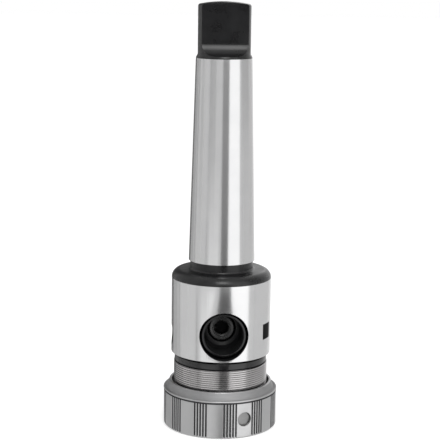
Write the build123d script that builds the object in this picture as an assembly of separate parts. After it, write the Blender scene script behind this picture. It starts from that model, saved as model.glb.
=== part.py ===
from build123d import *
import math
import os

# Tapping head on a Morse taper 4 shank, with a floating clutch sleeve, a
# friction clutch and a ring nut that sets the torque. Millimetres, +Z up
# towards the tang, origin on the axis at the underside of the ring nut. The
# windows of the drive studs face -Y and +Y.

# Clearances
running_clearance = 0.04      # radial, shaft in bore
location_clearance = 0.02     # radial, pieces that stay put
thread_clearance = 0.05       # radial, plain stand-in of a thread in its nut
cavity_clearance = 0.4        # round turning pieces inside the sleeve
float_clearance = 0.1         # left at either end of the sleeve's float
roof_clearance = 0.3          # the same above the stem

# Morse taper 4 shank
taper_dia = 31.6              # at the lower end face of the taper
taper_rate = 0.05194          # loss of diameter per mm
taper_length = 96.6
tang_length = 25.7
tang_step = 0.87              # radial, from the taper's small end down to the tang
tang_thickness = 11.9
tang_flat_length = 18.6
tang_runout_radius = 6.4
tang_crown_radius = 120.0
tang_edge_radius = 1.2
tang_foot_height = 1.4        # cone between the taper's small end and the tang
centre_hole_dia = 5.0
centre_hole_angle = 60.0

# Housing below the taper
neck_step = 0.8               # radial, from the taper down to the neck
neck_height = 4.3
neck_root_radius = 1.1
float_bore_dia = 36.0
housing_wall = 5.85
housing_height = 40.4
shoulder_radius = 3.97
housing_edge = 0.3
spring_bore_dia = 18.0

# Windows, drive studs and their tie screw
window_dia = 23.2
window_land = 0.73            # metal between the window and the housing's lower edge
stud_inset = 2.85             # stud face below the housing's round surface
stud_wall = 1.0
stud_recess_depth = 15.0
stud_rim_chamfer = 0.5
stud_floor = 2.0              # metal under the head of the tie screw
sleeve_web = 5.0              # wall of the sleeve between the two studs
tie_head_dia = 13.0
tie_head_height = 8.0
tie_head_edge = 0.9
tie_head_gap = 0.3            # round the screw's head in its counterbore
tie_socket = 6.0              # across flats
tie_socket_depth = 4.4
tie_thread_dia = 8.0
tie_thread_length = 16.0
tie_hole_gap = 0.3            # round the screw's shank
tie_tap_spare = 2.0           # tapped depth beyond the screw's end

# Grease plug in the side of the housing
plug_dia = 10.0
plug_above_edge = 8.1
plug_inset = 1.0
plug_gap = 0.65               # between the plug and the sleeve
plug_socket = 5.0
plug_socket_depth = 2.4

# Floating sleeve: stem, band, thread and clutch cup
float_up = 0.9
float_down = 1.2
stem_crown = 7.15             # stem above the studs
band_step = 0.25              # radial, from the thread down to the band
band_height = 2.9
band_edge = 0.3
relief_depth = 0.7            # radial, below the thread's crest
relief_height = 0.6
thread_dia = 45.0             # metric fine thread, 1 mm pitch
thread_exposed = 9.8
thread_edge = 0.5
cup_wall = 4.0                # from the cup to the thread's crest
cup_web = 8.2                 # metal between the clutch cup and the stud bore
keyway_width = 5.0
keyway_depth = 1.5
seal_groove_depth = 1.8
seal_height = 2.0
seal_below_top = 4.2

# Draw rod, its guide and the two float springs
rod_dia = 8.0
rod_head_dia = 15.0
rod_head_height = 4.0
rod_head_gap = 4.0            # between the rod's head and the end of its bore
rod_socket = 4.0
rod_socket_depth = 3.0
key_hole_dia = 6.5            # in the sleeve, for the key of the rod
guide_height = 8.0
return_spring_height = 20.0
draw_spring_height = 16.0
spring_mean_dia = 12.6
spring_wire_width = 2.2
spring_wire_height = 1.6
spring_turns = 4.0

# Friction clutch
lining_thickness = 2.0
flange_thickness = 4.0
hub_dia = 20.4
hub_end_gap = 0.3
pilot_bush_wall = 1.8
pilot_bush_height = 2.5
pressure_plate_thickness = 3.0
disc_thickness = 1.1
disc_count = 5
thrust_ring_height = 4.0
slide_washer_thickness = 1.5

# Spindle nose and its adapter bore
nose_inset = 1.0              # nose face above the nut's underside
nose_wall = 3.5
adapter_dia = 19.0
adapter_depth = 26.5
adapter_groove_depth = 0.6
adapter_groove_height = 2.5
adapter_groove_from_end = 3.0
adapter_slot_width = 5.0
adapter_slot_depth = 4.5
front_bush_wall = 1.75

# Ring nut
nut_wall = 4.8                # outside the thread
nut_height = 21.9
nut_rim = 1.2                 # width of the flat round the mouth
nut_cone_height = 3.5
nut_cone_inset = 1.4          # radial, from the foot of the cone to the nut's side
nut_lip = 0.15                # how far the lip stands proud of the nut's side
nut_lip_height = 0.7
nut_lip_radius = 0.5
nut_lip_groove_depth = 0.4
nut_lip_groove_height = 0.8
nut_foot_chamfer = 0.75
nut_floor = 5.0
nut_mouth_gap = 0.9           # round the thread
nut_mouth_depth = 1.5
nut_opening_gap = 1.6         # round the spindle's nose
sleeve_foot_gap = 1.5         # between the sleeve's lower end and the nut's floor
dust_ring_height = 2.0
dust_ring_above_foot = 1.5
dust_ring_wall = 3.0
grip_groups = 12
grip_grooves = 5              # in each group
grip_groove_step = 3.0        # degrees
grip_first_angle = 6.2        # degrees from -Y, middle of the first group
grip_groove_width = 0.75
grip_groove_depth = 0.55
lock_dia = 6.9
lock_above_foot = 9.2
lock_angle = 21.3             # degrees from -Y
lock_pad_length = 1.65
lock_plug_length = 1.8

# Diameters worked out from the sizes above
neck_dia = taper_dia - 2 * neck_step
taper_end_dia = taper_dia - taper_rate * taper_length
tang_dia = taper_end_dia - 2 * tang_step
housing_dia = float_bore_dia + 2 * housing_wall
stud_dia = window_dia - 2 * (max(float_up, float_down) + float_clearance)
stud_recess_dia = stud_dia - 2 * stud_wall
tie_hole_dia = tie_thread_dia + 2 * tie_hole_gap
cup_dia = thread_dia - 2 * cup_wall
nose_dia = adapter_dia + 2 * nose_wall
nut_bore_dia = thread_dia + 2 * thread_clearance
nut_dia = thread_dia + 2 * nut_wall
nut_lip_dia = nut_dia + 2 * nut_lip
nut_mouth_dia = thread_dia + 2 * nut_mouth_gap
nut_opening_dia = nose_dia + 2 * nut_opening_gap

# Heights worked out from the sizes above
thread_top_z = nut_height + thread_exposed
band_bottom_z = thread_top_z + relief_height
band_top_z = band_bottom_z + band_height
housing_bottom_z = band_top_z + float_up + float_clearance
shoulder_z = housing_bottom_z + housing_height
taper_z = shoulder_z + neck_height
taper_end_z = taper_z + taper_length
tang_end_z = taper_end_z + tang_length
window_z = housing_bottom_z + window_land + window_dia / 2
stem_top_z = window_z + stud_dia / 2 + stem_crown
roof_z = stem_top_z + float_up + roof_clearance
guide_z = stem_top_z + return_spring_height
guide_top_z = guide_z + guide_height
rod_head_z = guide_top_z + draw_spring_height
rod_head_top_z = rod_head_z + rod_head_height
cup_roof_z = window_z - stud_dia / 2 - cup_web
upper_lining_z = cup_roof_z - lining_thickness
flange_z = upper_lining_z - flange_thickness
lower_lining_z = flange_z - lining_thickness
pressure_plate_z = lower_lining_z - pressure_plate_thickness
slide_washer_z = nut_floor
thrust_ring_z = slide_washer_z + slide_washer_thickness
disc_stack_z = thrust_ring_z + thrust_ring_height
sleeve_foot_z = nut_floor + sleeve_foot_gap
nut_lip_z = nut_height - nut_cone_height - nut_lip_height
grip_top_z = nut_lip_z - nut_lip_groove_height

# Radii worked out from the sizes above
turning_r = cup_dia / 2 - cavity_clearance
keyed_r = cup_dia / 2 - running_clearance
front_bush_r = nose_dia / 2 + running_clearance + front_bush_wall
hub_bore_r = hub_dia / 2 + running_clearance
ring_clear_r = nose_dia / 2 + cavity_clearance
stud_face_r = housing_dia / 2 - stud_inset
tie_seat_y = stud_recess_depth - stud_face_r
tie_head_end_y = tie_seat_y + tie_head_height
tie_end_y = tie_head_end_y + tie_thread_length
web_front_y = tie_head_end_y + stud_floor
web_rear_y = web_front_y + sleeve_web


def turned(*corners):
    """A solid turned about Z from its (radius, height) corners."""
    outline = Polyline(*corners, close=True)
    return revolve(Plane.XZ * make_face(outline), Axis.Z)


def ring(inner_r, outer_r, bottom, top):
    return turned((inner_r, bottom), (outer_r, bottom), (outer_r, top), (inner_r, top))


def rod(radius, bottom, top):
    return turned((0, bottom), (radius, bottom), (radius, top), (0, top))


def along_y(radius, start, end, height):
    """A round bar along Y, from one Y to the other, at a height."""
    bar = extrude(Circle(radius), end - start)
    return Location((0, start, height), (-90, 0, 0)) * bar


def hexagon_along_y(across_flats, start, end, height):
    bar = extrude(RegularPolygon(across_flats / 2, 6, major_radius=False), end - start)
    return Location((0, start, height), (-90, 0, 0)) * bar


def facing(angle, height):
    """A place on the axis whose Z looks outwards, at an angle from -Y towards +X."""
    turn = math.radians(angle)
    outwards = (math.sin(turn), -math.cos(turn), 0)
    return Plane(origin=(0, 0, height), x_dir=(0, 0, 1), z_dir=outwards)


def round_edges(part, radius, height):
    """The circles about Z of one radius at one height."""
    edges = part.edges().filter_by(GeomType.CIRCLE)
    return edges.filter_by(
        lambda edge: abs(edge.radius - radius) < 1e-3
        and abs(edge.arc_center.Z - height) < 1e-3
    )


def tang():
    """The driving tang: a crowned round end with two milled flats."""
    blank = turned(
        (0, taper_end_z),
        (taper_end_dia / 2, taper_end_z),
        (tang_dia / 2, taper_end_z + tang_foot_height),
        (tang_dia / 2, tang_end_z),
        (0, tang_end_z),
    )
    crown = Pos(0, 0, tang_end_z - tang_crown_radius) * Sphere(tang_crown_radius)
    blank = blank & crown
    half = tang_thickness / 2
    flat_end_z = tang_end_z - tang_flat_length
    reach = half + tang_runout_radius
    side = [
        Line((half, tang_end_z + 1), (half, flat_end_z)),
        RadiusArc((half, flat_end_z), (reach, flat_end_z - tang_runout_radius), tang_runout_radius),
        Line((reach, flat_end_z - tang_runout_radius), (tang_dia, flat_end_z - tang_runout_radius)),
        Line((tang_dia, flat_end_z - tang_runout_radius), (tang_dia, tang_end_z + 1)),
        Line((tang_dia, tang_end_z + 1), (half, tang_end_z + 1)),
    ]
    cutter = extrude(Plane.YZ * make_face(side), tang_dia, both=True)
    shaped = blank - cutter - mirror(cutter, Plane.XZ)
    end_edges = shaped.faces().sort_by(Axis.Z)[-1].edges()
    shaped = fillet(end_edges, tang_edge_radius)
    hole_r = centre_hole_dia / 2
    hole_depth = hole_r / math.tan(math.radians(centre_hole_angle / 2))
    return shaped - turned((0, tang_end_z - hole_depth), (hole_r, tang_end_z), (0, tang_end_z))


def shank_housing():
    """Taper shank and housing in one piece, bored from below for the sleeve."""
    body = turned(
        (0, housing_bottom_z),
        (housing_dia / 2, housing_bottom_z),
        (housing_dia / 2, shoulder_z),
        (neck_dia / 2, shoulder_z),
        (neck_dia / 2, taper_z),
        (taper_dia / 2, taper_z),
        (taper_end_dia / 2, taper_end_z),
        (0, taper_end_z),
    )
    body = fillet(round_edges(body, housing_dia / 2, shoulder_z), shoulder_radius)
    body = fillet(round_edges(body, neck_dia / 2, shoulder_z), neck_root_radius)
    body = chamfer(round_edges(body, housing_dia / 2, housing_bottom_z), housing_edge)
    body = body + tang()
    bore_r = float_bore_dia / 2 + running_clearance
    body = body - rod(bore_r, housing_bottom_z - 1, roof_z)
    body = body - rod(spring_bore_dia / 2, roof_z - 1, rod_head_top_z + rod_head_gap)
    body = body - along_y(window_dia / 2, -housing_dia, housing_dia, window_z)
    plug_hole = extrude(Circle(plug_dia / 2), housing_dia)
    return body - facing(-90, housing_bottom_z + plug_above_edge) * plug_hole


def guide_bush():
    """Threaded guide of the draw rod, between the two float springs."""
    outer_r = spring_bore_dia / 2 - location_clearance
    return ring(rod_dia / 2 + running_clearance, outer_r, guide_z, guide_top_z)


def grease_plug():
    """Headless socket screw that closes the grease hole."""
    place = facing(-90, housing_bottom_z + plug_above_edge)
    outer = housing_dia / 2 - plug_inset
    plug_length = outer - float_bore_dia / 2 - plug_gap
    blank = extrude(Circle(plug_dia / 2 - location_clearance), plug_length)
    socket = extrude(RegularPolygon(plug_socket / 2, 6, major_radius=False), plug_socket_depth)
    screw = Pos(0, 0, outer - plug_length) * blank
    return place * (screw - Pos(0, 0, outer - plug_socket_depth) * socket)


def float_spring(bottom, top):
    """A coil of flat wire with ground ends between two seats."""
    space = top - bottom
    pitch = (space - spring_wire_height) / spring_turns
    path = Helix(pitch, pitch * (spring_turns + 1), spring_mean_dia / 2)
    start = Plane(path @ 0, x_dir=(1, 0, 0), z_dir=path % 0)
    wire = sweep(start * Rectangle(spring_wire_width, spring_wire_height), path, is_frenet=True)
    slab = rod(spring_mean_dia, bottom, top)
    return (Pos(0, 0, bottom - pitch / 2 + spring_wire_height / 2) * wire) & slab


def floating_sleeve():
    """Stem with the stud bores, band, threaded end and clutch cup, in one piece."""
    stem_r = float_bore_dia / 2
    thread_r = thread_dia / 2
    band_r = thread_r - band_step
    sleeve = turned(
        (0, sleeve_foot_z),
        (thread_r, sleeve_foot_z),
        (thread_r, thread_top_z),
        (thread_r - relief_depth, thread_top_z),
        (thread_r - relief_depth, band_bottom_z),
        (band_r, band_bottom_z),
        (band_r, band_top_z),
        (stem_r, band_top_z),
        (stem_r, stem_top_z),
        (0, stem_top_z),
    )
    sleeve = chamfer(round_edges(sleeve, band_r, band_top_z), band_edge)
    sleeve = chamfer(round_edges(sleeve, thread_r, sleeve_foot_z), thread_edge)
    sleeve = sleeve - rod(cup_dia / 2, sleeve_foot_z - 1, cup_roof_z)
    bush_r = hub_bore_r + pilot_bush_wall
    sleeve = sleeve - rod(bush_r, cup_roof_z - 1, cup_roof_z + pilot_bush_height)
    bore_r = stud_dia / 2 + location_clearance
    sleeve = sleeve - along_y(bore_r, -housing_dia, web_front_y, window_z)
    sleeve = sleeve - along_y(bore_r, web_rear_y, housing_dia, window_z)
    sleeve = sleeve - along_y(tie_hole_dia / 2, web_front_y - 1, web_rear_y + 1, window_z)
    sleeve = sleeve - rod(rod_dia / 2 + location_clearance, window_z, stem_top_z + 1)
    sleeve = sleeve - rod(key_hole_dia / 2, cup_roof_z - 1, window_z)
    groove_top = stem_top_z - seal_below_top + seal_height
    groove = ring(stem_r - seal_groove_depth, stem_r + 1, groove_top - seal_height, groove_top)
    keyway_r = cup_dia / 2 + keyway_depth
    keyway_height = lower_lining_z - sleeve_foot_z
    keyway = Box(2 * keyway_r, keyway_width, keyway_height)
    keyway = Pos(0, 0, sleeve_foot_z + keyway_height / 2) * keyway
    return sleeve - groove - keyway


def stem_seal():
    """Rubber ring in the stem's groove."""
    outer_r = float_bore_dia / 2
    top = stem_top_z - seal_below_top + seal_height - location_clearance
    bottom = top - seal_height + 2 * location_clearance
    return ring(outer_r - seal_groove_depth + location_clearance, outer_r, bottom, top)


def front_drive_stud():
    """Cup-shaped stud in the front window, recessed for the tie screw."""
    stud = along_y(stud_dia / 2, -stud_face_r, web_front_y, window_z)
    recess = along_y(stud_recess_dia / 2, -housing_dia, tie_seat_y, window_z)
    head_r = tie_head_dia / 2 + tie_head_gap
    seat = along_y(head_r, -housing_dia, tie_head_end_y, window_z)
    hole = along_y(tie_hole_dia / 2, -housing_dia, housing_dia, window_z)
    stud = stud - recess
    face = stud.faces().sort_by(Axis.Y)[0]
    outer_edge = face.edges().sort_by(lambda edge: edge.radius)[-1]
    stud = chamfer(outer_edge, stud_rim_chamfer)
    return stud - seat - hole


def rear_drive_stud():
    """Solid stud in the rear window, tapped for the tie screw."""
    stud = along_y(stud_dia / 2, web_rear_y, stud_face_r, window_z)
    rim = stud.faces().sort_by(Axis.Y)[-1].edges()
    stud = chamfer(rim, stud_rim_chamfer)
    hole_r = tie_thread_dia / 2 + location_clearance
    return stud - along_y(hole_r, web_rear_y - 1, tie_end_y + tie_tap_spare, window_z)


def stud_tie_screw():
    """Socket head screw that draws the two studs onto the sleeve."""
    head = along_y(tie_head_dia / 2, tie_seat_y, tie_head_end_y, window_z)
    head = fillet(head.faces().sort_by(Axis.Y)[0].edges(), tie_head_edge)
    shank = along_y(tie_thread_dia / 2, tie_head_end_y - 1, tie_end_y, window_z)
    socket = hexagon_along_y(tie_socket, tie_seat_y - 1, tie_seat_y + tie_socket_depth, window_z)
    return head + shank - socket


def draw_rod():
    """Rod screwed into the stem, whose head carries the upper float spring."""
    thread_end_z = window_z + stud_dia / 2 + location_clearance
    shaft = rod(rod_dia / 2, thread_end_z, rod_head_z)
    head = rod(rod_head_dia / 2, rod_head_z, rod_head_top_z)
    socket = extrude(RegularPolygon(rod_socket / 2, 6, major_radius=False), rod_socket_depth)
    return shaft + head - Pos(0, 0, thread_end_z) * socket


def pilot_bush():
    """Bronze bush in the sleeve that centres the spindle's hub."""
    outer_r = hub_bore_r + pilot_bush_wall
    return ring(hub_bore_r, outer_r, cup_roof_z, cup_roof_z + pilot_bush_height)


def upper_lining():
    return ring(hub_bore_r + cavity_clearance, turning_r, upper_lining_z, cup_roof_z)


def lower_lining():
    return ring(ring_clear_r, turning_r, lower_lining_z, flange_z)


def keyed_ring(inner_r, bottom, top):
    """A ring with two lugs that slide in the sleeve's keyways."""
    lug_r = cup_dia / 2 + keyway_depth - running_clearance
    lug_width = keyway_width - 2 * running_clearance
    lugs = Pos(0, 0, (bottom + top) / 2) * Box(2 * lug_r, lug_width, top - bottom)
    bore = rod(inner_r, bottom - 1, top + 1)
    return rod(keyed_r, bottom, top) + lugs - bore


def pressure_plate():
    return keyed_ring(ring_clear_r, pressure_plate_z, lower_lining_z)


def thrust_ring():
    return keyed_ring(front_bush_r, thrust_ring_z, disc_stack_z)


def front_bush():
    """Bronze bush in the thrust ring that guides the spindle's nose."""
    return ring(nose_dia / 2 + running_clearance, front_bush_r, thrust_ring_z, disc_stack_z)


def slide_washer():
    """Bronze washer between the nut's floor and the thrust ring."""
    return ring(ring_clear_r, turning_r, slide_washer_z, thrust_ring_z)


def disc_springs():
    """Cone-shaped spring washers, stacked mouth to mouth."""
    height = (pressure_plate_z - disc_stack_z) / disc_count
    rise = height - disc_thickness
    discs = []
    for index in range(disc_count):
        bottom = disc_stack_z + index * height
        inner_rise = rise if index % 2 == 0 else 0
        outer_rise = rise - inner_rise
        discs.append(
            turned(
                (ring_clear_r, bottom + inner_rise),
                (turning_r, bottom + outer_rise),
                (turning_r, bottom + outer_rise + disc_thickness),
                (ring_clear_r, bottom + inner_rise + disc_thickness),
            )
        )
    return Compound(children=discs)


def tap_spindle():
    """Clutch flange and nose in one piece, bored for a quick-change tap adapter."""
    bore_r = adapter_dia / 2
    hub_z = cup_roof_z + pilot_bush_height - hub_end_gap
    groove_top = nose_inset + adapter_depth - adapter_groove_from_end
    groove_bottom = groove_top - adapter_groove_height
    spindle = turned(
        (0, nose_inset),
        (nose_dia / 2, nose_inset),
        (nose_dia / 2, flange_z),
        (turning_r, flange_z),
        (turning_r, upper_lining_z),
        (hub_dia / 2, upper_lining_z),
        (hub_dia / 2, hub_z),
        (0, hub_z),
    )
    spindle = chamfer(round_edges(spindle, nose_dia / 2, nose_inset), housing_edge)
    spindle = spindle - rod(bore_r, nose_inset - 1, nose_inset + adapter_depth)
    spindle = spindle - ring(bore_r - 1, bore_r + adapter_groove_depth, groove_bottom, groove_top)
    slot = Box(adapter_slot_width, nose_dia + 2, 2 * adapter_slot_depth)
    return spindle - Pos(0, 0, nose_inset) * slot


def ring_nut():
    """Torque nut with a conical top and groups of upright grip grooves."""
    outer_r = nut_dia / 2
    thread_r = nut_bore_dia / 2
    mouth_z = nut_height - nut_mouth_depth
    seat_r = nose_dia / 2 + running_clearance + dust_ring_wall
    body = turned(
        (nut_opening_dia / 2, 0),
        (outer_r, 0),
        (outer_r, grip_top_z),
        (outer_r - nut_lip_groove_depth, grip_top_z),
        (outer_r - nut_lip_groove_depth, nut_lip_z),
        (nut_lip_dia / 2, nut_lip_z),
        (nut_lip_dia / 2, nut_lip_z + nut_lip_height),
        (outer_r - nut_cone_inset, nut_lip_z + nut_lip_height),
        (nut_mouth_dia / 2 + nut_rim, nut_height),
        (nut_mouth_dia / 2, nut_height),
        (thread_r, mouth_z),
        (thread_r, nut_floor),
        (nut_opening_dia / 2, nut_floor),
    )
    body = chamfer(round_edges(body, outer_r, 0), nut_foot_chamfer)
    lip_edge = round_edges(body, nut_lip_dia / 2, nut_lip_z + nut_lip_height)
    body = fillet(lip_edge, nut_lip_radius)
    seat = ring(
        nut_opening_dia / 2 - 1,
        seat_r,
        dust_ring_above_foot,
        dust_ring_above_foot + dust_ring_height,
    )
    hole = extrude(Circle(lock_dia / 2), outer_r)
    body = body - seat - facing(lock_angle, lock_above_foot) * hole
    return body - grip_grooves_cutter()


def grip_grooves_cutter():
    """All the grip grooves as one set of upright bars."""
    outer_r = nut_dia / 2
    bar = Box(grip_groove_width, 2 * grip_groove_depth, grip_top_z + 1)
    bars = []
    for group in range(grip_groups):
        middle = grip_first_angle + group * 360 / grip_groups
        for groove in range(grip_grooves):
            angle = middle + (groove - (grip_grooves - 1) / 2) * grip_groove_step
            bars.append(Rot(0, 0, angle) * Pos(0, -outer_r, (grip_top_z - 1) / 2) * bar)
    return bars


def dust_ring():
    """Rubber ring in the nut's floor that seals round the spindle's nose."""
    inner_r = nose_dia / 2 + running_clearance
    bottom = dust_ring_above_foot
    return ring(inner_r, inner_r + dust_ring_wall, bottom, bottom + dust_ring_height)


def lock_plug():
    """Steel plug in the nut's side hole, pressing the pad onto the thread."""
    start = nut_bore_dia / 2 + lock_pad_length
    plug = extrude(Circle(lock_dia / 2 - location_clearance), lock_plug_length)
    return facing(lock_angle, lock_above_foot) * Pos(0, 0, start) * plug


def lock_pad():
    """Brass pad between the plug and the thread."""
    end = nut_bore_dia / 2 + lock_pad_length
    bar = extrude(Circle(lock_dia / 2 - location_clearance), end)
    bar = facing(lock_angle, lock_above_foot) * bar
    return bar - rod(nut_bore_dia / 2, 0, nut_height)


pieces = {
    "shank_housing": shank_housing(),
    "guide_bush": guide_bush(),
    "grease_plug": grease_plug(),
    "return_spring": float_spring(stem_top_z, guide_z),
    "draw_spring": float_spring(guide_top_z, rod_head_z),
    "floating_sleeve": floating_sleeve(),
    "stem_seal": stem_seal(),
    "front_drive_stud": front_drive_stud(),
    "rear_drive_stud": rear_drive_stud(),
    "stud_tie_screw": stud_tie_screw(),
    "draw_rod": draw_rod(),
    "pilot_bush": pilot_bush(),
    "upper_lining": upper_lining(),
    "lower_lining": lower_lining(),
    "pressure_plate": pressure_plate(),
    "disc_springs": disc_springs(),
    "thrust_ring": thrust_ring(),
    "front_bush": front_bush(),
    "slide_washer": slide_washer(),
    "tap_spindle": tap_spindle(),
    "ring_nut": ring_nut(),
    "dust_ring": dust_ring(),
    "lock_plug": lock_plug(),
    "lock_pad": lock_pad(),
}

os.makedirs("parts", exist_ok=True)
for name, piece in pieces.items():
    export_step(piece, "parts/" + name + ".step")
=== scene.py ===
import math

import bmesh
import bpy
from mathutils import Matrix, Vector


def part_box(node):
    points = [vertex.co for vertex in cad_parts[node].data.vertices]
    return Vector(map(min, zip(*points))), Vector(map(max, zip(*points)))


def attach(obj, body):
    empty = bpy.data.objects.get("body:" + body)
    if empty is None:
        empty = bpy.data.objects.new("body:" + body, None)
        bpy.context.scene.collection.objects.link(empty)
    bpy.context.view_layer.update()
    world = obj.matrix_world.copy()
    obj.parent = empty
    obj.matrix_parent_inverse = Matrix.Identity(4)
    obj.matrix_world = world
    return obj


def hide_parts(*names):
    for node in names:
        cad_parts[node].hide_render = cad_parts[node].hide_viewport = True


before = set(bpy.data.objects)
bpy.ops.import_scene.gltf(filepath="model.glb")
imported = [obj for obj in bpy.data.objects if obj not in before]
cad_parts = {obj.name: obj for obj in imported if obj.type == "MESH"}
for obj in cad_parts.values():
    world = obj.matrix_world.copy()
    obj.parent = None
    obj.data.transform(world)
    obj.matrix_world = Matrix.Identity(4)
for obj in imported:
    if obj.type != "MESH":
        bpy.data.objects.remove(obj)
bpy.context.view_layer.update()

MM = 0.001


def box_mm(node):
    """Lowest and highest corner of a construction node, in millimetres."""
    low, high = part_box(node)
    return Vector(low) / MM, Vector(high) / MM


# Sizes in millimetres. The main ones come from the construction nodes.
housing_low, housing_high = box_mm("shank_housing")
sleeve_low, sleeve_high = box_mm("floating_sleeve")
nut_high = box_mm("ring_nut")[1]
stud_low, stud_high = box_mm("front_drive_stud")
rear_stud_low, rear_stud_high = box_mm("rear_drive_stud")
screw_low, screw_high = box_mm("stud_tie_screw")
plug_low, plug_high = box_mm("grease_plug")

housing_bottom = housing_low.z
housing_r = housing_high.x
housing_height = 40.4
shoulder_z = housing_bottom + housing_height
shoulder_fillet = 3.97
neck_r = 15.0
neck_height = 4.3
window_gap = 1.3
bore_r = 18.04
roof_gap = 1.2
spring_bore_r = 9.0
spring_room = 4.0

taper_z = shoulder_z + neck_height
taper_r = 15.8
taper_rate = 0.05194
taper_foot = 0.15
tang_height = 25.7
tang_crown = 62.0
centre_hole_r = 2.5
centre_hole_slope = math.radians(30)
tang_end = housing_high.z + tang_crown - math.sqrt(tang_crown ** 2 - centre_hole_r ** 2)
taper_end = tang_end - tang_height
taper_end_r = taper_r - taper_rate * (taper_end - taper_z) / 2

# The land is the short steeper stretch at the taper's upper end. The blackening laps over it.
land_height = 1.7
land_foot_r = taper_end_r + 0.044
oxide_lap = 0.45
lap_r = taper_end_r - 0.06
land_end_r = taper_end_r - 0.1

tang_step = 0.87
tang_r = taper_end_r - tang_step
tang_foot = 1.4
tang_half = 5.95
tang_flat = 18.6
tang_runout = 6.4
tang_edge = 1.2
tang_rim = 0.9
tang_corner = 0.35
dome_radii = (8.3, 6.5, 4.5, centre_hole_r)

stem_top = sleeve_high.z
roof_z = stem_top + roof_gap
spring_bore_end = box_mm("draw_rod")[1].z + spring_room

stud_r = stud_high.x
window_z = (stud_low.z + stud_high.z) / 2
window_r = stud_r + window_gap
stud_wall = 0.95
stud_rim = 0.7
stud_rim_drop = 0.18
stud_face = stud_low.y
stud_seat = screw_low.y
stud_floor = stud_high.y
stud_hole_r = 4.3
stud_fit = 0.02
bowl_height = 3.0
bowl_step = 0.9
bowl_width = 2.2

screw_head_r = screw_high.x
screw_head = 8.0
screw_head_gap = 0.3
screw_shank_r = 4.0
screw_edge = 1.0
screw_rim_r = 5.75
screw_groove_r = (3.75, 4.6)
screw_groove_depth = 0.22
screw_dish_r = 3.2
screw_dish_depth = 0.55
socket_width = 6.0
socket_depth = 4.4
socket_reach = 3.4

plug_z = (plug_low.z + plug_high.z) / 2
plug_r = 5.0
mark_angles = (52.4, 70.9)
mark_heights = (44.6, 52.4)
mark_soft_angle = 0.012
mark_soft_height = 0.3

thread_r = sleeve_high.x
thread_pitch = 1.0
thread_depth = 0.4
thread_back = 0.9
thread_foot_fade = 0.7
thread_top_fade = 0.2
thread_above_nut = 9.8
thread_top = nut_high.z + thread_above_nut
relief_r = thread_r - 0.7
band_r = thread_r - 0.25
band_bottom = thread_top + 0.6
band_height = 2.9
band_top = band_bottom + band_height
stem_r = 18.0
cup_r = 18.5
cup_roof = window_z - stud_r - 8.2

nut_lip_r = nut_high.x
nut_r = nut_lip_r - 0.15
nut_nose_r = 14.6
nut_floor = 5.0
nut_chamfer = 0.75
nut_fit = 0.05
nut_height = nut_high.z
nut_lip_z = nut_height - 4.2
nut_lip_top = nut_lip_z + 0.7
nut_neck_depth = 0.4
nut_top_width = 1.4
cone_top_width = 2.1
countersink_width = 1.1
countersink_depth = 2.2
grip_top = nut_lip_z - 0.8
grip_width = 0.75
grip_depth = 0.55
grip_first = 6.2
grip_groups = 12
grip_grooves = 5
grip_step = 3
lock_angle = 21.3
lock_z = 9.2
lock_r = 3.45
lock_fit = 0.02
lock_hole_start = 20
lock_plug_back = 24.2
lock_plug_face = 25.99

tool_reach = 30


# Outlines and solids

def rounded(corners, steps=6):
    """A closed outline of (radius, height) points, each corner (r, z, fillet) rounded off."""
    outline = []
    count = len(corners)
    for index, (r, z, radius) in enumerate(corners):
        corner = Vector((r, z))
        if radius <= 0:
            outline.append(corner)
            continue
        before = Vector(corners[index - 1][:2]) - corner
        after = Vector(corners[(index + 1) % count][:2]) - corner
        before_dir, after_dir = before.normalized(), after.normalized()
        half = math.acos(max(-1, min(1, before_dir.dot(after_dir)))) / 2
        room = 0.49 * min(before.length, after.length)
        reach = min(radius / math.tan(half), room)
        size = reach * math.tan(half)
        centre = corner + (before_dir + after_dir).normalized() * (size / math.sin(half))
        start = corner + before_dir * reach - centre
        end = corner + after_dir * reach - centre
        turn = start.angle_signed(end)
        turns = max(2, round(steps * abs(turn) / (math.pi / 2) * (1 + radius / 3)))
        for step in range(turns + 1):
            angle = -turn * step / turns
            outline.append(centre + Matrix.Rotation(angle, 2) @ start)
    return outline


def placed(name, data):
    """An object in the scene for a mesh, a lamp or a camera."""
    thing = bpy.data.objects.new(name, data)
    bpy.context.scene.collection.objects.link(thing)
    return thing


def new_object(name, bm):
    """A mesh object from a bmesh in millimetres, with its normals facing out."""
    bmesh.ops.remove_doubles(bm, verts=bm.verts, dist=1e-4)
    bmesh.ops.dissolve_degenerate(bm, edges=bm.edges, dist=1e-5)
    bmesh.ops.recalc_face_normals(bm, faces=bm.faces)
    mesh = bpy.data.meshes.new(name)
    bm.transform(Matrix.Scale(MM, 4))
    bm.to_mesh(mesh)
    bm.free()
    return placed(name, mesh)


def turned(name, outline, columns):
    """A solid turned about Z from a closed outline of (radius, height) points."""
    bm = bmesh.new()
    rings = []
    for r, z in outline:
        if r < 1e-6:
            rings.append([bm.verts.new((0, 0, z))])
            continue
        ring = []
        for column in range(columns):
            angle = math.tau * column / columns
            ring.append(bm.verts.new((r * math.sin(angle), -r * math.cos(angle), z)))
        rings.append(ring)
    for index, low in enumerate(rings):
        high = rings[(index + 1) % len(rings)]
        if len(low) == 1 and len(high) == 1:
            continue
        for column in range(columns):
            across = (column + 1) % columns
            corners = [low[column % len(low)], low[across % len(low)]]
            corners += [high[across % len(high)], high[column % len(high)]]
            bm.faces.new(list(dict.fromkeys(corners)))
    return new_object(name, bm)


def laid_along_y(piece, z):
    """Tips a piece so that its Z points along -Y, and lifts its origin to a height."""
    turn = Matrix.Rotation(math.radians(90), 4, "X")
    piece.data.transform(Matrix.Translation((0, 0, z * MM)) @ turn)
    return piece


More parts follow.
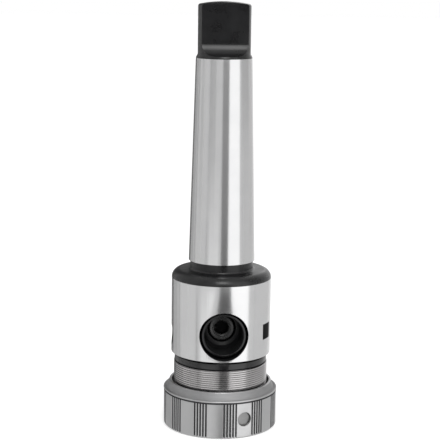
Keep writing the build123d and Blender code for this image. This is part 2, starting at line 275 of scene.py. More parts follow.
def bar(radius, low, high, columns):
    """A plain round bar along Z."""
    return turned("bar", [Vector((0, low)), Vector((radius, low)), Vector((radius, high)),
                          Vector((0, high))], columns)


def prism(corners, low, high):
    """An upright prism over (x, y) corners."""
    bm = bmesh.new()
    floor = [bm.verts.new((x, y, low)) for x, y in corners]
    roof = [bm.verts.new((x, y, high)) for x, y in corners]
    bm.faces.new(floor)
    bm.faces.new(roof)
    for index, corner in enumerate(floor):
        across = (index + 1) % len(floor)
        bm.faces.new([corner, floor[across], roof[across], roof[index]])
    return new_object("prism", bm)


def cut_out(piece, tool):
    """Takes a tool's shape out of a piece and deletes the tool."""
    step = piece.modifiers.new("cut", "BOOLEAN")
    step.operation = "DIFFERENCE"
    step.solver = "EXACT"
    step.object = tool
    depsgraph = bpy.context.evaluated_depsgraph_get()
    made = bpy.data.meshes.new_from_object(piece.evaluated_get(depsgraph))
    piece.modifiers.clear()
    piece.data = made
    bpy.data.objects.remove(tool)


def softened(piece, wanted, width, steps=2):
    """Bevels the edges over 25 degrees whose midpoint is wanted. Millimetres."""
    bm = bmesh.new()
    bm.from_mesh(piece.data)
    bm.transform(Matrix.Scale(1 / MM, 4))
    bmesh.ops.remove_doubles(bm, verts=bm.verts, dist=1e-4)
    edges = []
    for edge in bm.edges:
        if len(edge.link_faces) != 2:
            continue
        middle = (edge.verts[0].co + edge.verts[1].co) / 2
        if edge.calc_face_angle() > math.radians(25) and wanted(middle):
            edges.append(edge)
    bmesh.ops.bevel(bm, geom=edges, offset=width, segments=steps, profile=0.5,
                    affect="EDGES", clamp_overlap=True)
    bm.transform(Matrix.Scale(MM, 4))
    bm.to_mesh(piece.data)
    bm.free()


def smooth(piece, sharp_over=24):
    """Smooth shading, with creases where faces meet at more than an angle in degrees."""
    piece.data.shade_smooth()
    piece.data.set_sharp_from_angle(angle=math.radians(sharp_over))


# Finishes

class Graph:
    """Adds nodes and links to one node tree."""

    def __init__(self, tree):
        self.tree = tree

    def add(self, kind, inputs=None, **settings):
        """A new node. Its inputs are given by name or number, as a value or as another's socket."""
        node = self.tree.nodes.new(kind)
        for key, value in settings.items():
            setattr(node, key, value)
        for key, value in (inputs or {}).items():
            self.feed(node, key, value)
        return node

    def feed(self, node, key, value):
        if isinstance(value, bpy.types.NodeSocket):
            self.tree.links.new(value, node.inputs[key])
        else:
            node.inputs[key].default_value = value

    def maths(self, operation, *values):
        """The result of a Math node on values or sockets."""
        node = self.add("ShaderNodeMath", dict(enumerate(values)), operation=operation)
        return node.outputs[0]

    def place(self, where=None):
        """A place, its X, Y and Z, and its distance from the Z axis. Metres."""
        where = where or self.add("ShaderNodeTexCoord").outputs["Object"]
        parts = self.add("ShaderNodeSeparateXYZ", {0: where})
        x, y, z = parts.outputs
        across = self.maths("SQRT", self.maths("ADD", self.maths("MULTIPLY", x, x),
                                               self.maths("MULTIPLY", y, y)))
        return where, x, y, z, across

    def seen(self):
        """1 for what the camera sees directly, in metal or through glass."""
        path = self.add("ShaderNodeLightPath").outputs
        direct = self.maths("MAXIMUM", path["Is Camera Ray"], path["Is Glossy Ray"])
        return self.maths("MAXIMUM", direct, path["Is Transmission Ray"])

    def noise(self, vector, scale, detail, roughness):
        return self.add("ShaderNodeTexNoise", {"Vector": vector, "Scale": scale, "Detail": detail,
                                               "Roughness": roughness}).outputs["Fac"]

    def span(self, value, low, high, to_low=0.0, to_high=1.0):
        """Maps a stretch of a value onto another, and clamps it there."""
        return self.add("ShaderNodeMapRange", {"Value": value, "From Min": low, "From Max": high,
                                               "To Min": to_low, "To Max": to_high}).outputs[0]


def new_group(name, inputs, outputs):
    """A shader node group with named sockets. An input is (name, default), None for a place."""
    group = bpy.data.node_groups.new(name, "ShaderNodeTree")
    for label, default in inputs:
        kind = "NodeSocketVector" if default is None else "NodeSocketFloat"
        socket = group.interface.new_socket(label, in_out="INPUT", socket_type=kind)
        if default is not None:
            socket.default_value = default
    for label in outputs:
        group.interface.new_socket(label, in_out="OUTPUT", socket_type="NodeSocketFloat")
    return group, Graph(group)


def turning_marks():
    """Fine rings round the place's Z axis, as a tool or a grinding wheel leaves them."""
    group, graph = new_group("turning_marks", [("Place", None), ("Rings per mm", 4.0),
                                               ("Wander", 12.0)], ["Rings", "Patches"])
    given = graph.add("NodeGroupInput")
    where, x, y, z, across = graph.place(given.outputs["Place"])
    per_metre = graph.maths("MULTIPLY", given.outputs["Rings per mm"], 1000.0)
    along = graph.maths("MULTIPLY", z, per_metre)
    out = graph.maths("MULTIPLY", across, per_metre)
    round_axis = graph.maths("ADD", x, graph.maths("MULTIPLY", y, 1.7))
    wander = graph.maths("MULTIPLY", given.outputs["Wander"], 10.0)
    drift = graph.maths("MULTIPLY", round_axis, wander)
    lined = graph.add("ShaderNodeCombineXYZ", {0: along, 1: out, 2: drift}).outputs[0]
    rings = graph.noise(lined, 1.0, detail=3.0, roughness=0.6)
    patches = graph.noise(where, 90.0, detail=3.0, roughness=0.55)
    graph.add("NodeGroupOutput", {"Rings": rings, "Patches": patches})
    return group


def grain():
    """Even fine grain with broad cloudy patches, as blackening leaves it."""
    group, graph = new_group("oxide_grain", [("Grain size", 0.25)], ["Grain", "Clouds"])
    given = graph.add("NodeGroupInput")
    where = graph.add("ShaderNodeTexCoord").outputs["Object"]
    scale = graph.maths("DIVIDE", 1000.0, given.outputs["Grain size"])
    fine = graph.noise(where, scale, detail=2.0, roughness=0.6)
    clouds = graph.noise(where, 130.0, detail=4.0, roughness=0.6)
    graph.add("NodeGroupOutput", {"Grain": fine, "Clouds": clouds})
    return group


marks_group = turning_marks()
grain_group = grain()


def new_material(name, shader_values):
    """A material with one Principled shader. Returns it, its graph and the shader."""
    material = bpy.data.materials.new(name)
    material.use_nodes = True
    material.node_tree.nodes.clear()
    graph = Graph(material.node_tree)
    shader = graph.add("ShaderNodeBsdfPrincipled", shader_values)
    graph.add("ShaderNodeOutputMaterial", {"Surface": shader.outputs[0]})
    return material, graph, shader


def mixed_colour(graph, mask, first, second):
    """A mix of two colours or colour sockets, by a mask.

    A Mix node takes the mask in socket 0 and colours in 6 and 7, and gives a colour from 2.
    """
    return graph.add("ShaderNodeMix", {0: mask, 6: first, 7: second}, data_type="RGBA").outputs[2]


def tinted(graph, mask, dark, light):
    """A colour between two greys or tints, by a mask."""
    return mixed_colour(graph, mask, (*dark, 1), (*light, 1))


def turned_marks(graph, shader, rings_per_mm, axis):
    """Rings about the piece's own turning axis, with highlights stretched across them."""
    where, x, y, z, _ = graph.place()
    if axis == "Y":
        above = graph.maths("SUBTRACT", z, window_z * MM)
        where = graph.add("ShaderNodeCombineXYZ", {0: x, 1: above, 2: y}).outputs[0]
    marks = graph.add("ShaderNodeGroup", {"Place": where}, node_tree=marks_group)
    marks.inputs["Rings per mm"].default_value = rings_per_mm
    tangent = graph.add("ShaderNodeTangent", direction_type="RADIAL", axis=axis)
    graph.feed(shader, "Tangent", tangent.outputs[0])
    return marks


def etched_square(graph):
    """1 inside the square mark at the right of the housing, with slightly soft edges."""
    _, x, y, z, across = graph.place()
    angle = graph.maths("ARCTAN2", x, graph.maths("MULTIPLY", y, -1.0))
    soft_angle, soft_height = mark_soft_angle, mark_soft_height * MM
    left, right = (math.radians(degrees) for degrees in mark_angles)
    low, high = (height * MM for height in mark_heights)
    sides = graph.maths("MULTIPLY", graph.span(angle, left, left + soft_angle),
                        graph.span(angle, right, right - soft_angle))
    ends = graph.maths("MULTIPLY", graph.span(z, low, low + soft_height),
                       graph.span(z, high, high - soft_height))
    on_skin = graph.maths("GREATER_THAN", across, (housing_r - 1.0) * MM)
    return graph.maths("MULTIPLY", graph.maths("MULTIPLY", sides, ends), on_skin)


def metal(name, dark, light, rough, rings_per_mm, ring_height, stretch, rough_spread=0.05,
          marked=False):
    """Bare metal with rings from turning or grinding."""
    material, graph, shader = new_material(name, {
        "Metallic": 1.0, "Anisotropic": stretch, "Anisotropic Rotation": 0.25})
    marks = turned_marks(graph, shader, rings_per_mm, "Z")
    colour = tinted(graph, marks.outputs["Patches"], dark, light)
    gloss = graph.span(marks.outputs["Rings"], 0.3, 0.7, rough - rough_spread,
                       rough + rough_spread)
    if marked:
        mark = etched_square(graph)
        burnt = tinted(graph, marks.outputs["Patches"], (0.001, 0.001, 0.001),
                       (0.012, 0.012, 0.012))
        colour = mixed_colour(graph, mark, colour, burnt)
        gloss = graph.maths("ADD", gloss, graph.maths("MULTIPLY", mark, 0.6))
    graph.feed(shader, "Base Color", colour)
    graph.feed(shader, "Roughness", gloss)
    bump = graph.add("ShaderNodeBump", {"Strength": 1.0, "Distance": ring_height * MM,
                                        "Height": marks.outputs["Rings"]})
    graph.feed(shader, "Normal", bump.outputs[0])
    return material


def black_oxide(name, rough=0.3, rings_per_mm=3.0, ring_height=0.004, specular=0.35,
                stretch=0.5, axis="Z"):
    """Blackened steel with the turning still showing through."""
    material, graph, shader = new_material(name, {
        "Metallic": 0.0, "Specular IOR Level": specular, "Anisotropic": stretch,
        "Anisotropic Rotation": 0.25})
    marks = turned_marks(graph, shader, rings_per_mm, axis)
    skin = graph.add("ShaderNodeGroup", node_tree=grain_group)
    graph.feed(shader, "Base Color", tinted(graph, skin.outputs["Clouds"], (0.003, 0.003, 0.003),
                                            (0.008, 0.008, 0.009)))
    graph.feed(shader, "Roughness", graph.span(skin.outputs["Clouds"], 0.3, 0.7, rough - 0.05,
                                               rough + 0.07))
    height = graph.maths("ADD", marks.outputs["Rings"],
                         graph.maths("MULTIPLY", skin.outputs["Grain"], 0.4))
    bump = graph.add("ShaderNodeBump", {"Strength": 1.0, "Distance": ring_height * MM,
                                        "Height": height})
    graph.feed(shader, "Normal", bump.outputs[0])
    return material


ground_steel = metal("ground_steel", (0.50, 0.50, 0.505), (0.55, 0.55, 0.55), rough=0.20,
                     rings_per_mm=5.0, ring_height=0.0004, stretch=0.6, rough_spread=0.03,
                     marked=True)
taper_steel = metal("taper_steel", (0.47, 0.47, 0.475), (0.52, 0.52, 0.52), rough=0.20,
                    rings_per_mm=5.0, ring_height=0.0004, stretch=0.6, rough_spread=0.03)
thread_steel = metal("thread_steel", (0.33, 0.325, 0.325), (0.41, 0.40, 0.40), rough=0.22,
                     rings_per_mm=4.0, ring_height=0.0005, stretch=0.4, rough_spread=0.03)
nut_steel = metal("nut_steel", (0.36, 0.36, 0.365), (0.43, 0.43, 0.43), rough=0.38,
                  rings_per_mm=3.5, ring_height=0.004, stretch=0.6)
cone_steel = metal("cone_steel", (0.29, 0.29, 0.295), (0.35, 0.35, 0.35), rough=0.68,
                   rings_per_mm=3.5, ring_height=0.006, stretch=0.5)
# Dark steel painted into the nut's grooves, under its lip, in its countersink and in its bore:
# painted shade.
groove_shade_steel = metal("groove_shade_steel", (0.04, 0.04, 0.042), (0.08, 0.08, 0.082), rough=0.5,
                     rings_per_mm=3.5, ring_height=0.006, stretch=0.2)
plug_steel = metal("plug_steel", (0.13, 0.13, 0.13), (0.25, 0.25, 0.25), rough=0.42,
                   rings_per_mm=3.0, ring_height=0.01, stretch=0.2)
oxide = black_oxide("black_oxide")
band_oxide = black_oxide("band_oxide", rough=0.2, ring_height=0.002, specular=0.45)
milled_oxide = black_oxide("milled_oxide", rough=0.28, ring_height=0.002, specular=0.18)
# Dull black for walls inside holes, the gap under the band and the screw's socket: painted shade.
bore_shade_oxide = black_oxide("bore_shade_oxide", rough=0.6, ring_height=0.01, specular=0.08)
stud_oxide = black_oxide("stud_oxide", rough=0.28, rings_per_mm=2.5, specular=0.4, stretch=0.4,
                         axis="Y")
# Duller black for the inside of the stud's recess: painted shade.
recess_shade_oxide = black_oxide("recess_shade_oxide", rough=0.4, rings_per_mm=2.0, specular=0.3, axis="Y")
screw_oxide = black_oxide("screw_oxide", rough=0.26, rings_per_mm=2.0, specular=0.65, stretch=0.4,
                          axis="Y")
bronze = metal("bronze", (0.45, 0.28, 0.12), (0.60, 0.40, 0.18), rough=0.3,
               rings_per_mm=3.0, ring_height=0.004, stretch=0.3)
brass = metal("brass", (0.60, 0.45, 0.18), (0.75, 0.58, 0.28), rough=0.3,
              rings_per_mm=3.0, ring_height=0.004, stretch=0.3)
spring_steel = metal("spring_steel", (0.16, 0.16, 0.17), (0.24, 0.24, 0.26), rough=0.32,
                     rings_per_mm=1.0, ring_height=0.004, stretch=0.2)


def soft_material(name, dark, light, rough):
    """Rubber or lining with fine grain."""
    material, graph, shader = new_material(name, {"Metallic": 0.0, "Specular IOR Level": 0.35})
    skin = graph.add("ShaderNodeGroup", node_tree=grain_group)
    graph.feed(shader, "Base Color", tinted(graph, skin.outputs["Clouds"], dark, light))
    graph.feed(shader, "Roughness", graph.span(skin.outputs["Clouds"], 0.3, 0.7, rough - 0.06,
                                               rough + 0.06))
    bump = graph.add("ShaderNodeBump", {"Strength": 1.0, "Distance": 0.01 * MM,
                                        "Height": skin.outputs["Grain"]})
    graph.feed(shader, "Normal", bump.outputs[0])
    return material


rubber = soft_material("rubber", (0.010, 0.010, 0.010), (0.022, 0.022, 0.022), 0.6)
lining = soft_material("friction_lining", (0.10, 0.07, 0.05), (0.18, 0.13, 0.09), 0.75)


def dressed(piece, body, materials, node):
    """Puts a finished piece on its body, in place of its construction node."""
    for material in materials:
        if material.name not in piece.data.materials:
            piece.data.materials.append(material)
    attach(piece, body)
    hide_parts(node)


def paint(piece, choose):
    """Gives each face the material number that choose(centre in mm, normal) returns."""
    for face in piece.data.polygons:
        face.material_index = choose(face.center / MM, face.normal)


# Pieces

def crown_z(off):
    """Height of the tang's domed end, at a distance from the axis."""
    return tang_end - tang_crown + math.sqrt(tang_crown ** 2 - off ** 2)


def tang_cutter(side):
    """What the milling cutter takes off one side of the tang."""
    flat_end = tang_end - tang_flat
    above, beyond, steps = tang_end + 5, 20, 18
    corners = [(tang_half, above)]
    for step in range(steps + 1):
        angle = math.radians(90) * step / steps
        corners.append((tang_half + tang_runout * (1 - math.cos(angle)),
                        flat_end - tang_runout * math.sin(angle)))
    corners += [(beyond, flat_end - tang_runout), (beyond, above)]
    cutter = prism(corners, -beyond, beyond)
    laid_across = Matrix(((0, 0, 1, 0), (side, 0, 0, 0), (0, 1, 0, 0), (0, 0, 0, 1)))
    cutter.data.transform(laid_across)
    if side < 0:
        cutter.data.flip_normals()
    return cutter


def make_housing():
    """Taper shank, neck and housing, with both windows, the grease hole and the tang."""
    body = turned("shank_and_housing", rounded([
        (0, spring_bore_end, 0),
        (spring_bore_r, spring_bore_end, 0.3),
        (spring_bore_r, roof_z, 0.5),
        (bore_r, roof_z, 0.4),
        (bore_r, housing_bottom, 0.35),
        (housing_r, housing_bottom, 0.3),
        (housing_r, shoulder_z, shoulder_fillet),
        (neck_r, shoulder_z, 1.1),
        (neck_r, taper_z, 0.05),
        (taper_r, taper_z + taper_foot, 0.15),
        (land_foot_r, taper_end - land_height, 0.3),
        (lap_r, taper_end - oxide_lap, 0),
        (land_end_r, taper_end, 0.2),
        (tang_r, taper_end + tang_foot, 0.5),
        (tang_r, crown_z(tang_r), tang_edge),
        *((r, crown_z(r), 0) for r in dome_radii),
        (0, housing_high.z - centre_hole_r / math.tan(centre_hole_slope), 0),
    ]), 360)
    window = laid_along_y(bar(window_r, -tool_reach, tool_reach, 256), window_z)
    cut_out(body, window)
    hole = bar(plug_r, 0, tool_reach, 128)
    turn = Matrix.Rotation(math.radians(-90), 4, "Y")
    hole.data.transform(Matrix.Translation((0, 0, plug_z * MM)) @ turn)
    cut_out(body, hole)
    for side in (-1, 1):
        cut_out(body, tang_cutter(side))

    def on_window(middle):
        off = math.hypot(middle.x, middle.z - window_z)
        return abs(off - window_r) < 0.05 and abs(math.hypot(middle.x, middle.y) - housing_r) < 0.1

    def on_plug_hole(middle):
        off = math.hypot(middle.y, middle.z - plug_z)
        return abs(off - plug_r) < 0.05 and math.hypot(middle.x, middle.y) > housing_r - 0.1

    def on_tang(middle):
        above_runout = middle.z > tang_end - tang_flat - 1.0
        return above_runout and middle.z < crown_z(tang_r) - tang_edge and abs(middle.x) > 4

    def on_tang_rim(middle):
        on_flat = abs(abs(middle.y) - tang_half) < 0.05
        return on_flat and middle.z > crown_z(tang_r) - 0.3 and abs(middle.x) < tang_r - 2.5

    softened(body, on_window, 0.18)
    softened(body, on_plug_hole, 0.3)
    softened(body, on_tang, tang_corner, 3)
    softened(body, on_tang_rim, tang_rim, 3)
    smooth(body)

    def finish(centre, normal):
        off = math.hypot(centre.x, centre.y)
        outward = (normal.x * centre.x + normal.y * centre.y) / max(off, 1e-6)
        least = 0.7 if centre.z < housing_bottom + 1 else 0.9995
        on_cylinder = abs(off - housing_r) < 0.2 and outward > least and centre.z < shoulder_z
        beside_taper = taper_z < centre.z < taper_end - oxide_lap
        if beside_taper and off > taper_end_r - 0.15 and outward > 0.97:
            return 2
        if centre.z > taper_end and abs(abs(centre.y) - tang_half) < 0.1 and abs(normal.y) > 0.99:
            return 4
        # Walls inside the windows and the grease hole take the dull black: painted shade.
        if off < housing_r - 0.02 and centre.z < shoulder_z - shoulder_fillet:
            in_window = math.hypot(centre.x, centre.z - window_z) < window_r + 0.2
            in_plug_hole = centre.x < 0 and math.hypot(centre.y, centre.z - plug_z) < plug_r + 0.3
            if in_window or in_plug_hole:
                return 3
        return 0 if on_cylinder else 1

    dressed(body, "housing",
            [ground_steel, oxide, taper_steel, bore_shade_oxide, milled_oxide], "shank_housing")
    paint(body, finish)


def make_sleeve():
    """Stem, black band and threaded skirt of the floating sleeve."""
    skirt_foot = sleeve_low.z
    stem = turned("sleeve_stem_and_band", rounded([
        (0, cup_roof, 0),
        (cup_r, cup_roof, 0.6),
        (cup_r, skirt_foot, 0.3),
        (relief_r, skirt_foot, 0.3),
        (relief_r, thread_top - 0.1, 0),
        (relief_r, band_bottom, 0.15),
        (band_r, band_bottom, 0.12),
        (band_r, band_top, 0.4),
        (stem_r, band_top, 0.3),
        (stem_r, stem_top, 0.5),
        (0, stem_top, 0),
    ]), 288)
    hole = laid_along_y(bar(stud_r + stud_fit, -tool_reach, tool_reach, 192), window_z)
    cut_out(stem, hole)
    smooth(stem)
    dressed(stem, "head", [thread_steel, bore_shade_oxide, band_oxide],
            "floating_sleeve")

    def finish(centre, normal):
        off = math.hypot(centre.x, centre.y)
        if off > stem_r + 0.2 and centre.z > band_bottom - 0.02:
            return 2
        # The gap under the band and the stem's inner faces take the dull black: painted shade.
        return 1 if centre.z > thread_top - 0.1 or off < relief_r - 0.5 else 0

    paint(stem, finish)
    make_thread(skirt_foot)


def make_thread(foot):
    """The outside thread: one helical ridge with a broad crest and a narrow root.

    The section gives (share of the pitch, share of the depth). Both ends of the ridge fade out.
    """
    columns = 240
    section = ((0.0, 0.0), (0.08, 0.0), (0.26, 0.85), (0.3, 1.0), (0.78, 1.0), (0.82, 0.85))
    rows = len(section)
    inner = relief_r - thread_back
    turns = math.ceil((thread_top - foot) / thread_pitch) + 2
    bm = bmesh.new()

    def ring_of(share, r, z):
        angle = math.tau * share
        return bm.verts.new((r * math.sin(angle), -r * math.cos(angle), z))

    grid = []
    for column in range(columns):
        share = column / columns
        line = []
        for row in range(turns * rows + 1):
            step, height = section[row % rows]
            z = foot + (row // rows - 1 + step + share) * thread_pitch
            z = max(foot, min(thread_top, z))
            foot_edge = (z - foot) / thread_foot_fade + 0.1
            top_edge = (thread_top - z) / thread_top_fade + 0.5
            edge = max(0.0, min(1.0, foot_edge, top_edge))
            line.append(ring_of(share, thread_r - thread_depth * (1 - min(height, edge)), z))
        grid.append(line)
    for column in range(columns):
        shift = rows if column == columns - 1 else 0
        here, there = grid[column], grid[(column + 1) % columns]
        for row in range(len(here) - 1 - shift):
            bm.faces.new([here[row], there[row + shift], there[row + 1 + shift], here[row + 1]])
    for column in range(columns):
        share, across = column / columns, (column + 1) / columns
        here, there = grid[column], grid[(column + 1) % columns]
        low, low_across = ring_of(share, inner, foot), ring_of(across, inner, foot)
        high, high_across = ring_of(share, inner, thread_top), ring_of(across, inner, thread_top)
        bm.faces.new([here[0], there[0], low_across, low])
        bm.faces.new([here[-1], there[-1], high_across, high])
        bm.faces.new([low, low_across, high_across, high])
    thread = new_object("sleeve_thread", bm)
    smooth(thread, 20)
    dressed(thread, "head", [thread_steel], "floating_sleeve")


def make_front_stud():
    """Cup-shaped stud with a recess for the screw."""
    recess_r = stud_r - stud_wall
    seat_r = screw_head_r + screw_head_gap
    head_end = stud_seat + screw_head
    stud = turned("front_stud", rounded([
        (stud_r, -stud_floor, 0.3),
        (stud_r, -stud_face - stud_rim_drop, 0.1),
        (stud_r - stud_rim, -stud_face, 0.1),
        (recess_r, -stud_face, 0.15),
        (recess_r, -stud_seat + bowl_height, 2.0),
        (recess_r - bowl_step, -stud_seat + bowl_step, 1.2),
        (recess_r - bowl_width, -stud_seat, 0.8),
        (seat_r, -stud_seat, 0.15),
        (seat_r, -head_end, 0.1),
        (stud_hole_r, -head_end, 0.2),
        (stud_hole_r, -stud_floor, 0.2),
    ]), 192)
    laid_along_y(stud, window_z)
    smooth(stud)
    dressed(stud, "head", [stud_oxide, recess_shade_oxide], "front_drive_stud")
    # The inside of the recess takes the duller black: painted shade.
    paint(stud, lambda centre, normal: 1 if centre.y > stud_face + 0.3 else 0)


def make_rear_stud():
    """Plain stud in the rear window."""
    stud = turned("rear_stud", rounded([
        (0, -rear_stud_high.y, 0),
        (stud_r, -rear_stud_high.y, 0.5),
        (stud_r, -rear_stud_low.y, 0.3),
        (0, -rear_stud_low.y, 0),
    ]), 192)
    laid_along_y(stud, window_z)
    smooth(stud)
    dressed(stud, "head", [stud_oxide], "rear_drive_stud")


def hexagon(across_flats):
    """Corners of a hexagon with flats at its left and right."""
    size = across_flats / math.sqrt(3)
    angles = [math.radians(60 * k + 30) for k in range(6)]
    return [(size * math.cos(angle), size * math.sin(angle)) for angle in angles]


def make_tie_screw():
    """Socket head screw, its head flush in the recess."""
    head_end = stud_seat + screw_head
    tip = screw_high.y
    groove_in, groove_out = screw_groove_r
    groove_floor = -stud_seat - screw_groove_depth
    dish_floor = -stud_seat - screw_dish_depth
    screw = turned("tie_screw", rounded([
        (0, -tip, 0),
        (screw_shank_r, -tip, 0.7),
        (screw_shank_r, -head_end, 0.4),
        (screw_head_r - 0.1, -head_end, 0.3),
        (screw_head_r - 0.1, -stud_seat - screw_edge, 0.3),
        (screw_rim_r, -stud_seat, 0.3),
        (groove_out, groove_floor, 0.3),
        (groove_in, groove_floor, 0.1),
        (screw_dish_r, dish_floor, 0),
        (0, dish_floor, 0),
    ]), 160)
    cut_out(screw, prism(hexagon(socket_width), -stud_seat - socket_depth, -stud_seat + 1))
    laid_along_y(screw, window_z)
    smooth(screw)
    dressed(screw, "head", [screw_oxide, bore_shade_oxide], "stud_tie_screw")

    def in_socket(centre, normal):
        off = math.hypot(centre.x, centre.z - window_z)
        # The socket takes the dull black: painted shade.
        return 1 if off < socket_reach and centre.y > stud_seat + 0.5 else 0

    paint(screw, in_socket)


def aimed_at_lock(piece):
    """Lays a piece that stands on Z along the radius of the nut's side hole."""
    tip = Matrix.Rotation(math.radians(90), 4, "X")
    turn = Matrix.Rotation(math.radians(lock_angle), 4, "Z")
    piece.data.transform(Matrix.Translation((0, 0, lock_z * MM)) @ (turn @ tip))


def grip_columns():
    """The nut's columns as (angle in degrees, depth): groups of grooves with plain skin between.

    The section of a groove gives (share of its half width, share of its depth).
    """
    half = math.degrees(grip_width / 2 / nut_r)
    groove_section = ((-1.35, 0.0), (-1.08, 0.04), (-0.96, 0.2), (-0.84, 0.72), (-0.6, 0.95),
                      (0.0, 1.0), (0.6, 0.95), (0.84, 0.72), (0.96, 0.2), (1.08, 0.04),
                      (1.35, 0.0))
    plain_first, plain_step, plain_count = 7.5, 1.25, 13
    columns = []
    for group in range(grip_groups):
        middle = grip_first + group * 360 / grip_groups
        for groove in range(grip_grooves):
            angle = middle + (groove - grip_grooves // 2) * grip_step
            columns += [(angle + share * half, depth * grip_depth)
                        for share, depth in groove_section]
        columns += [(middle + plain_first + plain_step * k, 0.0) for k in range(plain_count)]
    return columns


def make_nut():
    """Ring nut with its cone, lip and groups of grip grooves."""
    bore = thread_r + nut_fit
    outline = rounded([
        (nut_nose_r, 0, 0.4),
        (nut_r - nut_chamfer, 0, 0.15),
        (nut_r, nut_chamfer, 0.15),
        (nut_r, grip_top, 0.08),
        (nut_r - nut_neck_depth, grip_top, 0.05),
        (nut_r - nut_neck_depth, nut_lip_z, 0.05),
        (nut_lip_r, nut_lip_z, 0.12),
        (nut_lip_r, nut_lip_top, 0.5),
        (nut_r - nut_top_width, nut_lip_top, 0.3),
        (thread_r + cone_top_width, nut_height, 0.3),
        (thread_r + countersink_width, nut_height, 0.1),
        (bore, nut_height - countersink_depth, 0.1),
        (bore, nut_floor, 0.3),
        (nut_nose_r, nut_floor, 0.3),
    ])
    columns = grip_columns()
    bm = bmesh.new()
    rings = []
    for r, z in outline:
        ring = []
        for angle, depth in columns:
            cut = nut_r - depth if z < grip_top + 0.05 and r > nut_r - 2 else r
            reach = min(r, cut)
            turn = math.radians(angle)
            ring.append(bm.verts.new((reach * math.sin(turn), -reach * math.cos(turn), z)))
        rings.append(ring)
    for index, low in enumerate(rings):
        high = rings[(index + 1) % len(rings)]
        for column in range(len(columns)):
            across = (column + 1) % len(columns)
            bm.faces.new([low[column], low[across], high[across], high[column]])
    nut = new_object("torque_nut", bm)
    hole = bar(lock_r, lock_hole_start, tool_reach, 96)
    aimed_at_lock(hole)
    cut_out(nut, hole)

    def on_lock_hole(middle):
        turn = math.radians(lock_angle)
        along = middle.x * math.sin(turn) - middle.y * math.cos(turn)
        side = middle.x * math.cos(turn) + middle.y * math.sin(turn)
        off = math.hypot(side, middle.z - lock_z)
        return abs(off - lock_r) < 0.03 and along > 25

    softened(nut, on_lock_hole, 0.15)
    smooth(nut, 32)
    dressed(nut, "nut", [nut_steel, cone_steel, groove_shade_steel], "ring_nut")

    def finish(centre, normal):
        off = math.hypot(centre.x, centre.y)
        # The grooves, the neck under the lip, the countersink and the bore take the dark steel:
        # painted shade.
        if grip_top - 0.02 < centre.z < nut_lip_z + 0.02 and off > nut_r - 0.6:
            return 2
        if 0.8 < centre.z < grip_top and nut_r - grip_depth - 0.05 < off < nut_r - 0.06:
            return 2
        if off < thread_r + countersink_width - 0.05 and centre.z > nut_floor:
            return 2
        if centre.z > nut_height - 0.22:
            return 0
        return 1 if centre.z > nut_lip_top - 0.1 and off < nut_lip_r - 0.6 else 0

    paint(nut, finish)


def make_lock_plug():
    """Plain plug with a rounded edge in the nut's side hole."""
    plug_edge_r = lock_r - lock_fit
    plug = turned("lock_screw", rounded([
        (0, lock_plug_back, 0),
        (plug_edge_r, lock_plug_back, 0.2),
        (plug_edge_r, lock_plug_face, 0.45),
        (0, lock_plug_face, 0),
    ]), 96)
    aimed_at_lock(plug)
    smooth(plug)
    dressed(plug, "nut", [plug_steel], "lock_plug")


make_housing()
make_sleeve()
make_front_stud()
make_rear_stud()
make_tie_screw()
make_nut()
make_lock_plug()

# The other nodes stay as constructed and only get a finish.
node_finishes = {
    "guide_bush": bronze,
    "grease_plug": oxide,
    "return_spring": spring_steel,
    "draw_spring": spring_steel,
    "stem_seal": rubber,
    "draw_rod": nut_steel,
    "pilot_bush": bronze,
    "upper_lining": lining,
    "lower_lining": lining,
    "pressure_plate": nut_steel,
    "disc_springs": spring_steel,
    "thrust_ring": nut_steel,
    "front_bush": bronze,
    "slide_washer": bronze,
    "tap_spindle": ground_steel,
    "dust_ring": rubber,
    "lock_pad": brass,
}
for node, material in node_finishes.items():
    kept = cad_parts[node]
    kept.data.materials.clear()
    kept.data.materials.append(material)


# Studio

camera_distance = 651.75
camera_above_housing_foot = 181.46
camera_height = housing_bottom + camera_above_housing_foot
camera_side = -1.028
camera_azimuth = math.radians(-4.1)
camera_pitch = 0.17853
camera_roll = 0.01255
focal_pixels = 1387.82
picture_pixels = 440
sensor_width = 36.0

floor_r = 6.0
floor_shade = 0.93
floor_glow = 0.24
world_strength = 0.85


def make_camera():
    """The photograph's camera, in front of the window, a little above the tang, looking down."""
    data = bpy.data.cameras.new("camera")
    data.sensor_width = sensor_width
    data.sensor_fit = "HORIZONTAL"
    data.lens = focal_pixels * sensor_width / picture_pixels
    camera = placed("camera", data)
    outward = Vector((math.sin(camera_azimuth), -math.cos(camera_azimuth), 0))
    right = Vector((math.cos(camera_azimuth), math.sin(camera_azimuth), 0))
    place = (outward * camera_distance + right * camera_side + Vector((0, 0, camera_height))) * MM
    forward = -outward * math.cos(camera_pitch) - Vector((0, 0, math.sin(camera_pitch)))
    up = right.cross(forward).normalized()
    image_right = math.cos(camera_roll) * right + math.sin(camera_roll) * up
    image_up = -math.sin(camera_roll) * right + math.cos(camera_roll) * up
    turn = Matrix((image_right, image_up, -forward)).transposed().to_4x4()
    camera.matrix_world = Matrix.Translation(place) @ turn
    bpy.context.scene.camera = camera


def around(azimuth, distance, height):
    """A place round the object, in metres. Azimuth in degrees from the camera's side to +X."""
    turn = camera_azimuth + math.radians(azimuth)
    return Vector((distance * math.sin(turn), -distance * math.cos(turn), height))


def aimed(thing, place, tilt=0.0):
    """Stands a thing at a place, its -Z towards the axis, tipped down by an angle in degrees."""
    look = Vector((-place.x, -place.y, 0)).to_track_quat("-Z", "Y").to_matrix().to_4x4()
    tip = Matrix.Rotation(math.radians(-tilt), 4, "X")
    thing.matrix_world = Matrix.Translation(place) @ look @ tip


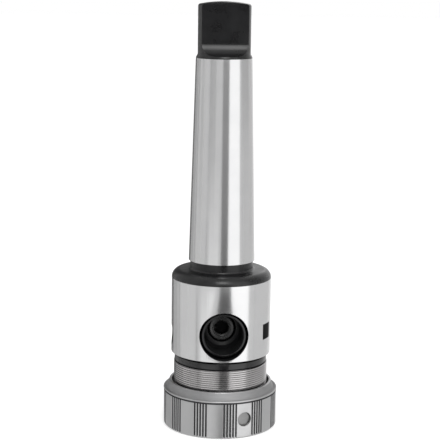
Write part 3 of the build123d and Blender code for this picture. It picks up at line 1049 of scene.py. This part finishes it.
def soft_box(name, azimuth, width, height, radiance, distance=1.15, middle=0.1, tilt=0.0):
    """A soft light that the camera doesn't see. Its width is an angle too, as its azimuth is."""
    data = bpy.data.lights.new(name, "AREA")
    data.shape = "RECTANGLE"
    data.size = 2 * distance * math.tan(math.radians(width / 2))
    data.size_y = height
    data.energy = radiance * math.pi * data.size * data.size_y
    lamp = placed(name, data)
    aimed(lamp, around(azimuth, distance, middle), tilt)
    lamp.visible_camera = False


def dark_card(name, azimuth, width, height, shade, distance=1.2, middle=0.1):
    """A card that shows only in reflections. Its width is an angle too, as its azimuth is."""
    half = distance * math.tan(math.radians(width / 2))
    bm = bmesh.new()
    signs = ((-1, -1), (1, -1), (1, 1), (-1, 1))
    bm.faces.new([bm.verts.new((x * half, y * height / 2, 0)) for x, y in signs])
    mesh = bpy.data.meshes.new(name)
    bm.to_mesh(mesh)
    bm.free()
    card = placed(name, mesh)
    aimed(card, around(azimuth, distance, middle))
    material, _, _ = new_material(name, {"Base Color": (shade, shade, shade, 1),
                                         "Roughness": 0.9, "Specular IOR Level": 0.0})
    mesh.materials.append(material)
    card.visible_camera = False
    card.visible_shadow = False
    card.visible_diffuse = False


def make_floor():
    """A wide pale floor that hides nothing from a camera below it."""
    bm = bmesh.new()
    bmesh.ops.create_circle(bm, cap_ends=True, segments=96, radius=floor_r)
    mesh = bpy.data.meshes.new("floor")
    bm.to_mesh(mesh)
    bm.free()
    floor = placed("floor", mesh)
    material, graph, shader = new_material("floor", {
        "Base Color": (floor_shade, floor_shade, floor_shade, 1), "Roughness": 0.7,
        "Specular IOR Level": 0.2, "Emission Color": (1, 1, 1, 1)})
    graph.feed(shader, "Emission Strength", graph.maths("MULTIPLY", graph.seen(), floor_glow))
    underside = graph.add("ShaderNodeNewGeometry").outputs["Backfacing"]
    graph.feed(shader, "Alpha", graph.maths("SUBTRACT", 1.0, underside))
    mesh.materials.append(material)
    floor.visible_glossy = False


def make_world():
    """White all round to the eye and in the metal, and a plain level of light otherwise."""
    world = bpy.data.worlds.new("studio")
    bpy.context.scene.world = world
    world.use_nodes = True
    world.node_tree.nodes.clear()
    graph = Graph(world.node_tree)
    plain = graph.add("ShaderNodeBackground", {"Color": (1, 1, 1, 1), "Strength": world_strength})
    white = graph.add("ShaderNodeBackground", {"Color": (1, 1, 1, 1), "Strength": 1.0})
    mixed = graph.add("ShaderNodeMixShader", {0: graph.seen(), 1: plain.outputs[0],
                                              2: white.outputs[0]})
    graph.add("ShaderNodeOutputWorld", {"Surface": mixed.outputs[0]})


make_camera()
make_world()
make_floor()

# Lights give azimuth, width, height and radiance, cards azimuth, width, height and shade.
# Angles are in degrees, heights and distances in metres.
soft_box("key_light", 43, 46, 2.4, 0.88)
soft_box("fill_light", -30, 36, 1.1, 0.38, middle=-0.73)
soft_box("top_light", 5, 30, 0.7, 6.0, distance=0.95, middle=0.95, tilt=40)
soft_box("rear_right_light", 169, 8, 0.3, 0.7, middle=0.45)
dark_card("camera_card_low", 9.2, 23.2, 1.56, 0.17, middle=-1.05)
dark_card("camera_card_high", 9.4, 25.6, 1.02, 0.42, middle=0.24)
dark_card("left_strip", -57.5, 3.6, 1.3, 0.45, middle=-0.85)
dark_card("left_upper_card", -43, 28, 1.7, 0.7, middle=0.8)
dark_card("left_card", -94, 26, 3.0, 0.94)
dark_card("left_side_upper_card", -89, 16, 1.7, 0.82, distance=1.18, middle=0.75)
dark_card("left_side_strip", -111.5, 3.6, 3.0, 0.55, distance=1.18)
dark_card("left_side_card", -116, 13, 3.0, 0.76)
dark_card("left_rear_card", -133, 22, 3.0, 0.6)
dark_card("right_card", 112, 62, 3.0, 0.91)
dark_card("right_upper_card", 104, 60, 1.6, 0.68, distance=1.18, middle=0.84)
dark_card("rear_strip", -150.5, 13, 2.0, 0.18, middle=0.64)
dark_card("rear_card_low", -168, 22, 0.55, 0.3, middle=-0.1)
dark_card("rear_card_high", -168, 24, 1.4, 0.12, middle=0.85)
bpy.context.scene.view_settings.view_transform = "Standard"
